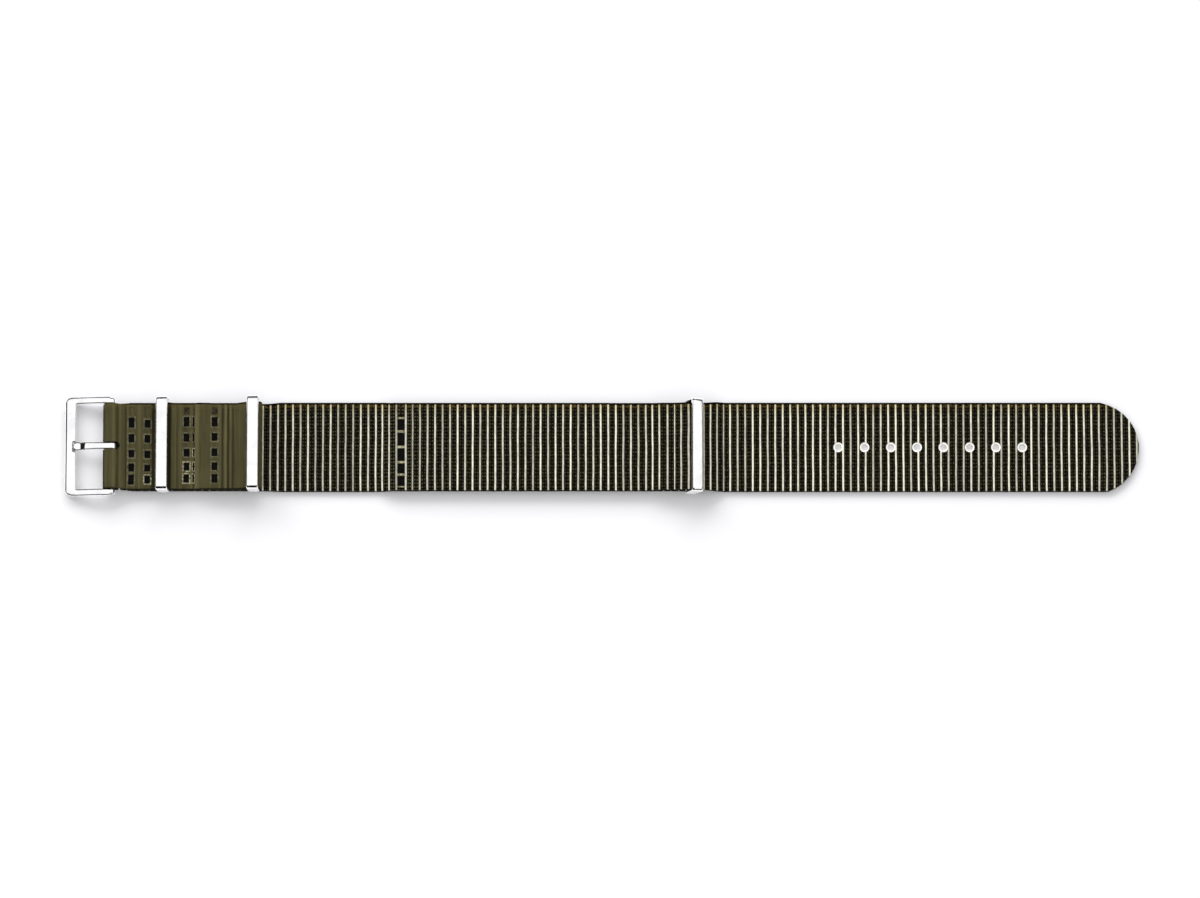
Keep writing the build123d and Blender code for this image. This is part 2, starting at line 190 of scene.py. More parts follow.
class StrapWelds(bpy.types.PropertyGroup):
    """Sizes and colours of the weld windows and the holes."""

    window: length("Window length", "Along the strap", 1.5)
    depth: length("Window depth", "Below the webbing's face", 0.42)
    faint_depth: length("Faint window depth", "Of the sixth window in each row", 0.1)
    rim: length("Rim width", "Of the pressed rim round a window", 0.3)
    rim_height: length("Rim height", "Of the pressed rim", 0.05)
    hole_radius: length("Hole radius", "Of a punched size hole", 0.85)
    hole_ring: length("Hole ring", "Width of the melted ring round a hole", 0.35)
    hole_pitch: length("Hole pitch", "From hole to hole", 6.53)
    hole_count: IntProperty(name="Holes", description="Punched size holes", default=8, min=1, max=12)
    floor_colour: colour("Window floor", "Melted webbing in a window", "#0e0c0d")
    rim_colour: colour("Rim", "Pressed rim on the olive back", "#6e6b54")


class StrapSteel(bpy.types.PropertyGroup):
    """Finish of the metal pieces."""

    softness: length("Edge softness", "Bevel that polishing leaves on an edge", 0.12)
    rounding: length("Edge rounding", "Radius over which the polish carries its shine round an edge", 0.42)
    foot_rounding: length("Foot rounding", "The same at the feet of the rings", 0.7)
    steel_colour: colour("Polished steel", "Keepers and buckle", "#f7f7f7")
    drawn_colour: colour("Drawn steel", "Spring bar", "#b9b8b4")
    roughness: FloatProperty(
        name="Roughness", description="Of the polish", default=0.07, min=0, max=1, subtype="FACTOR"
    )


class StrapStudio(bpy.types.PropertyGroup):
    """Camera and floor."""

    elevation: FloatProperty(
        name="Elevation", description="Of the camera", default=math.radians(79.8), subtype="ANGLE"
    )
    distance: length("Distance", "From the camera to the strap", 2500.0)
    view_width: length("View width", "That the picture takes in at the strap", 298.3)
    aim_x: length("Aim along", "Point of the strap in the picture's middle", -0.46)
    aim_y: length("Aim across", "Point of the strap in the picture's middle", -0.24)
    floor_colour: colour("Floor", "Pale studio floor", "#f4f4f6")


GROUPS = {
    "strap_webbing": StrapWebbing,
    "strap_welds": StrapWelds,
    "strap_steel": StrapSteel,
    "strap_studio": StrapStudio,
}


# Small helpers of the modelling: everything below works in millimetres until a piece is finished


def primitive(name, operator, **how):
    """A new primitive, with its place and size written into its points."""
    bpy.ops.object.select_all(action="DESELECT")
    operator(**how)
    piece = bpy.context.object
    piece.name = piece.data.name = name
    bpy.ops.object.transform_apply(location=True, rotation=True, scale=True)
    return piece


def holder_of(name, data):
    """A new object in the scene that holds a mesh, curve, light or camera."""
    holder = bpy.data.objects.new(name, data)
    bpy.context.scene.collection.objects.link(holder)
    return holder


def activate(piece):
    """Makes one piece the active and only selected object."""
    bpy.ops.object.select_all(action="DESELECT")
    piece.select_set(True)
    bpy.context.view_layer.objects.active = piece


def edit(piece):
    """Goes into edit mode with nothing selected."""
    activate(piece)
    bpy.ops.object.mode_set(mode="EDIT")
    bpy.ops.mesh.select_all(action="DESELECT")


def leave():
    """Goes back to object mode."""
    bpy.ops.object.mode_set(mode="OBJECT")


def pick(kind, test):
    """In edit mode, selects only the vertices, edges or faces that pass a test, and says how many do."""
    bpy.ops.mesh.select_all(action="DESELECT")
    bpy.context.tool_settings.mesh_select_mode = (kind == "verts", kind == "edges", kind == "faces")
    mesh = bmesh.from_edit_mesh(bpy.context.object.data)
    mesh.normal_update()
    found = [item for item in getattr(mesh, kind) if test(item)]
    for item in found:
        item.select_set(True)
    mesh.select_flush_mode()
    bmesh.update_edit_mesh(bpy.context.object.data)
    return len(found)


def cut(place, normal, near=None, **how):
    """In edit mode, cuts the mesh along a plane, only in the faces that pass a test if one is given."""
    if near is None:
        bpy.ops.mesh.select_all(action="SELECT")
    elif not pick("faces", near):
        raise RuntimeError(f"no face to cut at {place}")
    bpy.ops.mesh.bisect(plane_co=place, plane_no=Vector(normal).normalized(), **how)


def modify(piece, kind, **settings):
    """Adds a modifier, sets it up and applies it."""
    activate(piece)
    modifier = piece.modifiers.new(kind.title(), kind)
    for name, value in settings.items():
        setattr(modifier, name, value)
    bpy.ops.object.modifier_apply(modifier=modifier.name)


def reshape(piece, **how):
    """Turns or scales a piece, and writes that into its points."""
    activate(piece)
    for name, value in how.items():
        setattr(piece, name, value)
    bpy.ops.object.transform_apply(location=False, rotation=True, scale=True)


def to_scene(piece, body, slot_name, *nodes):
    """Brings a finished piece from millimetres to metres and puts it on its CAD body."""
    reshape(piece, scale=(MM, MM, MM))
    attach(piece, body)
    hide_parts(*nodes)


# The way that the webbing takes


def corner_lists(webbing):
    """Corners (place, height, radius) of the main and the under strap's middles, as the solids have them."""
    thick, gap, bend = webbing.thickness / MM, webbing.gap / MM, webbing.bend / MM
    pitch = thick + gap
    floor, second, third = (thick / 2 + n * pitch for n in range(3))
    wrap = front_bar.z - floor
    fold = hinge.z - floor
    over = wrap + pitch

    def run(height, slope):
        return height / math.tan(math.radians(slope))

    def upright(bar, radius, slope):
        a = math.radians(slope)
        return bar + radius * (math.cos(a) + (1 + math.sin(a)) * math.tan(a))

    left = hinge.x - fold
    fold_top = upright(hinge.z, fold, FOLD_SLOPE)
    fold_foot = left + run(fold_top - second, FOLD_SLOPE)
    front_top = front_bar.z + wrap / math.cos(math.radians(HUMP_SLOPE))
    front_run = run(front_top - second, HUMP_SLOPE)
    turn = middle_bar.x + wrap
    turn_top = upright(middle_bar.z, wrap, STEP_SLOPE)
    fourth_weld = WELDS[-1][0]
    step_top = fourth_weld - STEP_LAND
    fifth_top = under_start - gap
    under_end = end_bar.x - UNDER_LAP
    up = under_end - UNDER_LAND
    left_apex = end_bar.z + over / math.cos(math.radians(UNDER_SLOPE))
    half = math.radians(UNDER_SLOPE + TIP_SIDE_SLOPE) / 2
    tilt = math.radians(TIP_SIDE_SLOPE - UNDER_SLOPE) / 2
    apex = over / math.cos(half)
    top = (end_bar.x + apex * math.sin(tilt), end_bar.z + apex * math.cos(tilt))
    main = [
        (fourth_weld - TURNED_LAP, second, 0),
        (turn, second, wrap),
        (turn, turn_top, wrap),
        (turn - run(turn_top - third, STEP_SLOPE), third, bend),
        (step_top, third, bend),
        (step_top - run(pitch, STEP_SLOPE), second, bend),
        (front_bar.x + front_run, second, bend),
        (front_bar.x, front_top, wrap),
        (front_bar.x - front_run, second, bend),
        (fold_foot, second, bend),
        (left, fold_top, fold),
        (left, floor, fold),
        (fifth_top - run(pitch, STEP_SLOPE), floor, bend),
        (fifth_top, second, bend),
        (up - run(pitch, UNDER_SLOPE), second, bend),
        (up, third, bend),
        (end_bar.x - run(left_apex - third, UNDER_SLOPE), third, bend),
        (*top, over),
        (top[0] + run(top[1] - floor, TIP_SIDE_SLOPE), floor, bend),
        (strap_tip, floor, 0),
    ]
    right = end_bar.x + wrap
    turned = upright(end_bar.z, wrap, UNDER_SLOPE)
    under = [
        (under_start, floor, 0),
        (right, floor, wrap),
        (right, turned, wrap),
        (right - run(turned - second, UNDER_SLOPE), second, bend),
        (under_end, second, 0),
    ]
    return main, under


class Way:
    """The way of the webbing's middle: straight runs with an arc at each corner, measured from its start."""

    def __init__(self, corners):
        points = [Vector((c[0], c[1], 0)) for c in corners]
        self.fillets = [(points[0], points[0], points[0], 0, 0)]
        for before, here, after, corner in zip(points, points[1:], points[2:], corners[1:]):
            back, on = (before - here).normalized(), (after - here).normalized()
            turning = math.pi - back.angle(on)
            reach = corner[2] * math.tan(turning / 2)
            self.fillets.append((here + back * reach, here, here + on * reach, turning, corner[2]))
        self.fillets.append((points[-1], points[-1], points[-1], 0, 0))
        self.starts, self.ends, total = [], [], 0
        for fillet, following in zip(self.fillets, [*self.fillets[1:], self.fillets[-1]]):
            self.starts.append(total)
            total += fillet[3] * fillet[4]
            self.ends.append(total)
            total += (following[0] - fillet[2]).length
        self.length = total

    def at(self, place, begin, end):
        """Length of the way up to a place, which is looked for from one corner to another."""
        for n in range(begin, end):
            first, _, last, turning, radius = self.fillets[n]
            following = self.fillets[n + 1][0]
            for start, stop, so_far, run in (
                (first, last, self.starts[n], turning * radius),
                (last, following, self.ends[n], (following - last).length),
            ):
                if abs(stop.x - start.x) > 0.001 and min(start.x, stop.x) <= place <= max(start.x, stop.x):
                    return so_far + run * (place - start.x) / (stop.x - start.x)
        raise RuntimeError(f"the way doesn't pass {place}")

    def curve(self, name):
        """The way as a Bezier curve in the XY plane, whose handles draw the arcs."""
        knots = []
        for first, corner, last, turning, radius in self.fillets:
            if not knots or (first - knots[-1]["at"]).length > 0.001:
                knots.append({"at": first})
            if turning:
                reach = 4 / 3 * math.tan(turning / 4) * radius
                knots[-1]["after"] = first + (corner - first).normalized() * reach
                knots.append({"at": last, "before": last + (corner - last).normalized() * reach})
        for here, following in zip(knots, knots[1:]):
            if "after" not in here:
                third = (following["at"] - here["at"]) / 3
                here["after"], following["before"] = here["at"] + third, following["at"] - third
        curve = bpy.data.curves.new(name, "CURVE")
        curve.dimensions = "3D"
        curve.resolution_u = 48
        spline = curve.splines.new("BEZIER")
        spline.bezier_points.add(len(knots) - 1)
        for point, knot in zip(spline.bezier_points, knots):
            point.handle_left_type = point.handle_right_type = "FREE"
            point.co = knot["at"]
            point.handle_left = knot.get("before", knot["at"])
            point.handle_right = knot.get("after", knot["at"])
        return holder_of(name, curve)


# Making the webbing flat, before it is bent round the bars

FACE, BACK, RIM, PALE_RIM, WINDOW, PRINT, CUT, PUNCHED = range(8)  # material slots of the webbing


def one_repeat(webbing):
    """One repeat of the weave: an open sleeve with a cord across it, between the middles of two dark bands."""
    pitch, width = webbing.pitch / MM, webbing.width / MM
    high, cord, ridge = webbing.cord_height / MM, webbing.cord / MM, webbing.ridge / MM
    top = webbing.thickness / MM / 2 - high
    bottom = ridge - webbing.thickness / MM / 2
    how = {"location": (0, 0, (top + bottom) / 2), "scale": (pitch, width, top - bottom)}
    piece = primitive("webbing_repeat", bpy.ops.mesh.primitive_cube_add, size=1, **how)
    edit(piece)
    pick("faces", lambda f: abs(f.normal.x) > 0.9)
    bpy.ops.mesh.delete(type="FACE")
    pick("edges", lambda e: all(abs(abs(v.co.y) - width / 2) < 0.01 for v in e.verts) and e.calc_length() > 1.5)
    bpy.ops.mesh.bevel(offset=webbing.edge / MM, segments=3)
    # Rows of points: place from the cord's middle in cord widths, and shares of the cord's and ridge's heights
    half = ((-1.14, 0.28, 0), (-0.5, 0, 0.6), (-0.3, 0.78, 1))
    rows = (*half, (0, 1, 1), *((-share, rise, back_rise) for share, rise, back_rise in reversed(half)))
    for share, *_ in rows:
        cut((share * cord, 0, 0), (1, 0, 0))
    for n in range(-4, 5):  # so that the webbing can be drawn in and spread across its width
        cut((0, n * width / 9.6, 0), (0, 1, 0))
    for share, rise, back_rise in rows:
        for side, move in ((1, rise * high), (-1, -back_rise * ridge)):
            level = top if side > 0 else bottom
            pick("verts", lambda v: abs(v.co.x - share * cord) < 0.01 and (v.co.z - level) * side > -0.1)
            bpy.ops.transform.translate(value=(0, 0, move))
    leave()
    return piece


def in_row(piece, count, pitch, **how):
    """Repeats a piece along the webbing."""
    how.update(use_relative_offset=False, use_constant_offset=True, constant_offset_displace=(pitch, 0, 0))
    modify(piece, "ARRAY", count=count, **how)


def flat_webbing(name, webbing, total, last_cord):
    """A flat length of webbing from x 0, with its last cord at a given distance from the end."""
    piece = one_repeat(webbing)
    piece.name = piece.data.name = name
    pitch = webbing.pitch / MM
    count = math.ceil(total / pitch) + 2
    in_row(piece, count, pitch, use_merge_vertices=True, merge_threshold=0.01)
    for material in range(PUNCHED + 1):
        bpy.ops.object.material_slot_add()
    edit(piece)
    bpy.ops.mesh.select_all(action="SELECT")
    bpy.ops.transform.translate(value=(total - last_cord - (count - 2) * pitch, 0, 0))
    cut((0, 0, 0), (1, 0, 0), clear_inner=True, use_fill=True)
    cut((total, 0, 0), (1, 0, 0), clear_outer=True, use_fill=True)
    give(piece, FACE, lambda f: f.normal.z > -0.75)
    give(piece, BACK, lambda f: f.normal.z <= -0.75)
    leave()
    return piece


def give(piece, slot, test=None):
    """In edit mode, gives a material slot to the faces that pass a test, or else to the selected ones."""
    if test:
        pick("faces", test)
    piece.active_material_index = slot
    bpy.ops.object.material_slot_assign()


def mark_out(side, place, size):
    """In edit mode, cuts a rectangle into the webbing's face or back, and gives the test for its faces."""
    reach = [size[n] / 2 for n in (0, 1)]

    def off(face):
        return face.calc_center_median().xy - Vector(place)

    for n in (0, 1):
        for end in (-1, 1):
            at = [*place, 0]
            at[n] += end * reach[n]
            cut(at, (1 - n, n, 0), lambda f: off(f).length < max(reach) + 2 and f.normal.z * side > 0.5)
    return lambda f: all(abs(off(f)[n]) < reach[n] for n in (0, 1)) and f.normal.z * side > 0.5


def raise_up(piece, inside, side, lift, finish):
    """In edit mode, flattens a marked rectangle, lifts it a little and gives it a finish."""
    give(piece, finish, inside)
    bpy.ops.transform.resize(value=(1, 1, 0))
    bpy.ops.transform.translate(value=(0, 0, side * lift))


def press_window(piece, side, place, size, depth, finish=None):
    """Presses one window into the webbing: place and size are along and across."""
    pick("faces", mark_out(side, place, size))
    if finish is not None:
        give(piece, finish)
    bpy.ops.mesh.extrude_region_move(TRANSFORM_OT_translate={"value": (0, 0, -side * depth)})
    bpy.ops.transform.resize(value=(0.9, 0.93, 1))


def press_framed(piece, welds, side, place, size, rim, finish):
    """Presses one window with a raised rim round it."""
    lift = welds.rim_height / MM
    outer = (size[0] + 2 * rim, size[1] + 2 * rim)
    raise_up(piece, mark_out(side, place, outer), side, lift, finish)
    press_window(piece, side, place, size, welds.depth / MM + lift, WINDOW)


def weld_tail(piece, welds, way):
    """The welds of the tail, whose windows show on the back of the webbing."""
    rim, long, faint = welds.rim / MM, welds.window / MM, welds.faint_depth / MM
    for n, (place, windows) in enumerate(WELDS):
        along = way.at(place, *TAIL)
        for across, width in windows:
            finish = PALE_RIM if (n, across) in CREAM_WINDOWS else RIM
            press_framed(piece, welds, -1, (along, across), (long, width), rim, finish)
        # Beyond the first keeper the tool has also darkened the sixth window.
        across, width = FAINT_WINDOW
        press_window(piece, -1, (along, across), (long, width), faint, PRINT if n > 1 else None)
    place, slit = THIRD_WELD_SLIT
    for across, width in WELDS[2][1]:
        finish = PALE_RIM if across < 0 else RIM
        press_framed(piece, welds, -1, (way.at(place, *TAIL), across), (slit, width), 0.6 * rim, finish)


def weld_face(piece, welds, webbing, way):
    """The fifth weld, on the striped face: a ladder between two cords, which it has pushed apart."""
    pitch = webbing.pitch / MM
    first = way.length - webbing.last_cord / MM
    between = first - (round((first - way.at(FIFTH_WELD[0], *BELOW)) / pitch - 0.5) + 0.5) * pitch
    long, lift, rim = pitch - 0.95 * webbing.cord / MM, welds.rim_height / MM, welds.rim / MM
    windows = FIFTH_WELD[1]
    high, low = windows[0][0] + windows[0][1] / 2 + rim, windows[-1][0] - windows[-1][1] / 2 - rim
    ladder = mark_out(1, (between, (high + low) / 2), (long, high - low))
    raise_up(piece, ladder, 1, lift, PALE_RIM)
    for across, width in windows:
        press_window(piece, 1, (between, across), (long, width), welds.depth / MM + lift, WINDOW)
    press_window(piece, 1, (between, FAINT_WINDOW[0]), (long, FAINT_WINDOW[1]), welds.faint_depth / MM)
    return between


def push_apart(piece, between, reach, factor):
    """Pushes what lies near a weld apart along the webbing, and squeezes what lies beyond it."""
    for vertex in piece.data.vertices:
        off = vertex.co.x - between
        if abs(off) < reach:
            share = abs(off) / reach
            vertex.co.x = between + off * (1 + (factor - 1) * (1 - share) ** 2)


def cut_tip(piece, total):
    """Cuts the round tip with short strokes along two arcs, the near side fuller than the far one."""
    far = [(-9.7, 11.02), (-7.5, 10.35), (-5.5, 9.4), (-3.75, 8.1), (-2.3, 6.55), (-1.2, 4.8), (-0.45, 2.9)]
    near = [(-0.1, -1.2), (-0.45, -3.2), (-1.2, -5.15), (-2.3, -6.95), (-3.75, -8.55), (-5.5, -9.9)]
    outline = [*far, (-0.05, 0.9), *near, (-7.8, -11.02)]

    def beyond(face, back):
        return face.calc_center_median().x > total - back

    for (x0, y0), (x1, y1) in zip(outline, outline[1:]):
        outward = (y0 - y1, x1 - x0, 0)
        cut((total + x0, y0, 0), outward, lambda f: beyond(f, 13), clear_outer=True, use_fill=True)
    give(piece, CUT, lambda f: beyond(f, 10) and abs(f.normal.z) < 0.3 and f.normal.x > 0.08)


def draw_in_neck(webbing, fold):
    """Draws the webbing in where it runs between the buckle's arms, and lets it out again beyond them."""
    half, draw = webbing.width / MM / 2, webbing.neck_draw / MM
    for low, high, share in ((0, 5.3, 1), (5.3, 6.4, 0.7), (6.4, 7.5, 0.3)):
        pick("verts", lambda v: low <= abs(v.co.x - fold) < high)
        bpy.ops.transform.resize(value=(1, 1 - share * draw / half, 1), center_override=(fold, 0, 0))


def cutter(name, radius, place, base=-2):
    """An upright round cutter that stands on a level and reaches out of the webbing."""
    how = {"radius": radius, "depth": 4, "location": (place, 0, base + 2)}
    return primitive(name, bpy.ops.mesh.primitive_cylinder_add, vertices=40, **how)


def take_out(piece, tool, low, high, radius, finish, level=-2):
    """Takes a cutter out of the webbing, and gives the new walls and floors their finish."""
    modify(piece, "BOOLEAN", operation="DIFFERENCE", solver="EXACT", object=tool)
    bpy.data.objects.remove(tool)
    edit(piece)

    def new(face):
        middle = face.calc_center_median()
        inside = low < middle.x < high and abs(middle.y) < radius + 0.02
        return inside and (abs(face.normal.z) < 0.2 or abs(middle.z - level) < 0.01)

    give(piece, finish, new)
    leave()


def cut_slot(piece, start, end):
    """Cuts the tongue's slot through both layers of the fold, round at its ends."""
    tool = cutter("slot_cutter", SLOT_RADIUS, 0)
    edit(tool)
    pick("verts", lambda v: v.co.x > -0.001)
    bpy.ops.transform.translate(value=(end - SLOT_RADIUS, 0, 0))
    pick("verts", lambda v: v.co.x < 0)
    bpy.ops.transform.translate(value=(start + SLOT_RADIUS, 0, 0))
    leave()
    take_out(piece, tool, start - 0.1, end + 0.1, SLOT_RADIUS, CUT)


def punch_holes(piece, webbing, welds, last):
    """Punches the row of size holes, each with a melted ring; the last is the one nearest the tip."""
    pitch, radius, ring = welds.hole_pitch / MM, welds.hole_radius / MM, welds.hole_ring / MM
    first = last - (welds.hole_count - 1) * pitch
    level = webbing.thickness / MM / 2 - 1.5 * webbing.cord_height / MM  # a little below the dark bands
    for size, base in ((radius + ring, level), (radius, -2)):
        tool = cutter("hole_punch", size, first, base)
        in_row(tool, welds.hole_count, pitch)
        take_out(piece, tool, first - 2, last + 2, size, PUNCHED, base)


def loosen(piece, scale):
    """Lets the cords wander a little, as woven ones do."""
    clouds = bpy.data.textures.new(piece.name + "_wander", "CLOUDS")
    clouds.noise_scale = scale
    how = {"direction": "X", "strength": 0.2, "mid_level": 0.5, "texture_coords": "LOCAL"}
    modify(piece, "DISPLACE", texture=clouds, **how)


def note_places(piece, cord_place, shaded_creases, weld=math.inf):
    """Keeps each point's place on the flat webbing, counted from a cord's middle, and sets the creases and their
    painted shade.

    On the face it notes the strain that a weld leaves within 7 mm. A crease is full within 0.85 of its half
    width and gone at 1.7 of it, and 0.08 mm of its height is one step of shade.
    """
    mesh = piece.data
    mesh.attributes.new("weave_place", "FLOAT_VECTOR", "POINT")
    mesh.attributes.new("crease", "FLOAT", "POINT")
    place, shade = mesh.attributes["weave_place"], mesh.attributes["crease"]
    for i, vertex in enumerate(mesh.vertices):
        place.data[i].vector = vertex.co - Vector((cord_place, 0, 0))
        if vertex.co.z > 0:
            shade.data[i].value = -max(0, 1 - abs(vertex.co.x - weld) / 7)
            continue
        # Each crease's shade is painted into the colour: darker in a hollow, lighter on a ridge.
        for along, half, rise in shaded_creases:
            share = max(0, 1 - abs(vertex.co.x - along) / (1.7 * half))
            shade.data[i].value += rise / 0.08 * min(1, 2 * share)
            vertex.co.z -= 0.5 * rise * min(1, 2 * share)


def spread(piece, low, high, far, near):
    """Makes a stretch of the webbing wider or narrower, with 3 mm of change at each of its ends."""
    for vertex in piece.data.vertices:
        share = min(1, (vertex.co.x - low) / 3, (high - vertex.co.x) / 3)
        if share > 0:
            vertex.co.y *= 1 + share * (far if vertex.co.y > 0 else near)


def bend_along(piece, way):
    """Bends the flat webbing along its way."""
    curve = way.curve(piece.name + "_way")
    reshape(piece, rotation_euler=(math.radians(-90), 0, 0))
    modify(piece, "CURVE", object=curve, deform_axis="POS_X")
    bpy.data.objects.remove(curve)
    reshape(piece, rotation_euler=(math.radians(90), 0, 0))


def lean(piece):
    """Lets the webbing lean to its near side where it rises over the end keeper's bar."""
    for vertex in piece.data.vertices:
        if vertex.co.x > LEAN_FROM:
            vertex.co.y -= LEAN_SHARE * max(0, vertex.co.z - LEAN_LEVEL)


def finish_webbing(piece, scene, *nodes):
    """Smooths the webbing and gives it its finishes."""
    activate(piece)
    bpy.ops.object.shade_smooth_by_angle(angle=math.radians(50))
    for slot, finish in zip(piece.material_slots, webbing_finishes(scene.strap_webbing, scene.strap_welds)):
        slot.material = finish
    to_scene(piece, "webbing", "webbing", *nodes)


# Finishes


def add(tree, kind, inputs=None, **settings):
    """Adds a node, sets it up and joins its sockets: each input is a value or another node's output."""
    node = tree.nodes.new(kind)
    for name, value in settings.items():
        setattr(node, name, value)
    for socket, value in (inputs or {}).items():
        if isinstance(value, bpy.types.NodeSocket):
            tree.links.new(value, node.inputs[socket])
        else:
            node.inputs[socket].default_value = value
    return node


def finish_of(name, draw, *values):
    """The material of a name, whose nodes a function draws the first time that it is asked for."""
    if name not in bpy.data.materials:
        material = bpy.data.materials.new(name)
        material.use_nodes = True
        material.node_tree.nodes.clear()
        draw(material.node_tree, *values)
    return bpy.data.materials[name]


def surface(tree, colour, roughness, height=None, bump=0.3, normal=None, **constants):
    """Ends a finish in one Principled shader, with a bump where a height is given."""
    inputs = {"Base Color": colour, "Roughness": roughness}
    if height is not None:
        bumped = add(tree, "ShaderNodeBump", {"Height": height, "Strength": bump, "Distance": 0.0001})
        if normal is not None:
            tree.links.new(normal, bumped.inputs["Normal"])
        inputs["Normal"] = bumped.outputs["Normal"]
    shader = add(tree, "ShaderNodeBsdfPrincipled", inputs)
    for socket, value in constants.items():
        shader.inputs[socket.replace("_", " ")].default_value = value
    add(tree, "ShaderNodeOutputMaterial", {"Surface": shader.outputs["BSDF"]})


def shaded(tree, *shares):
    """The product of several shares: as a value goes from start to end, each goes smoothly from low to high."""
    product = None
    for value, start, end, *span in shares:
        low, high = span or (0.0, 1.0)
        inputs = {"Value": value, "From Min": start, "From Max": end, "To Min": low, "To Max": high}
        share = add(tree, "ShaderNodeMapRange", inputs, interpolation_type="SMOOTHSTEP").outputs["Result"]
        if product is not None:
            share = add(tree, "ShaderNodeMath", {0: product, 1: share}, operation="MULTIPLY").outputs[0]
        product = share
    return product


def summed(tree, *patterns):
    """The sum of several patterns, each times its own weight."""
    total = 0.0
    for pattern, weight in patterns:
        inputs = {0: pattern, 1: weight, 2: total}
        total = add(tree, "ShaderNodeMath", inputs, operation="MULTIPLY_ADD").outputs[0]
    return total


def layered(tree, colour, *layers):
    """A colour with others laid over it, each by its own share."""
    for share, over in layers:
        colour = add(tree, "ShaderNodeMix", {0: share, 6: colour, 7: over}, data_type="RGBA").outputs[2]
    return colour


def uneven(tree, place, grain, detail=2.0, stretch=(1, 1, 1)):
    """Soft unevenness: its grain is in millimetres, and stretch makes it longer along an axis."""
    shares = tuple(1 / (grain * s) for s in stretch)
    place = add(tree, "ShaderNodeMapping", {"Vector": place, "Scale": shares}).outputs["Vector"]
    inputs = {"Vector": place, "Scale": 1.0, "Detail": detail}
    return add(tree, "ShaderNodeTexNoise", inputs).outputs["Fac"]


def weave_of(tree):
    """The place on the flat webbing in millimetres, and its parts along and across."""
    noted = add(tree, "ShaderNodeAttribute", attribute_name="weave_place", attribute_type="GEOMETRY")
    parts = add(tree, "ShaderNodeSeparateXYZ", {"Vector": noted.outputs["Vector"]}).outputs
    return noted.outputs["Vector"], parts["X"], parts["Y"]


def crease_shade_and_strain_of(tree):
    """The painted shade of the creases on the webbing's back, and the weld's strain on its face."""
    return add(tree, "ShaderNodeAttribute", attribute_name="crease", attribute_type="GEOMETRY").outputs["Fac"]


def from_cord(tree, along, webbing):
    """Distance in millimetres from the middle of the nearest cord, and the cord's number."""
    pitch = webbing.pitch / MM
    turns = add(tree, "ShaderNodeMath", {0: along, 1: 1 / pitch, 2: 0.5}, operation="MULTIPLY_ADD").outputs[0]
    number = add(tree, "ShaderNodeMath", {0: turns}, operation="FLOOR").outputs[0]
    distance = turns
    for operation, second in (("FRACT", 0.0), ("SUBTRACT", 0.5), ("ABSOLUTE", 0.0), ("MULTIPLY", pitch)):
        distance = add(tree, "ShaderNodeMath", {0: distance, 1: second}, operation=operation).outputs[0]
    return distance, number


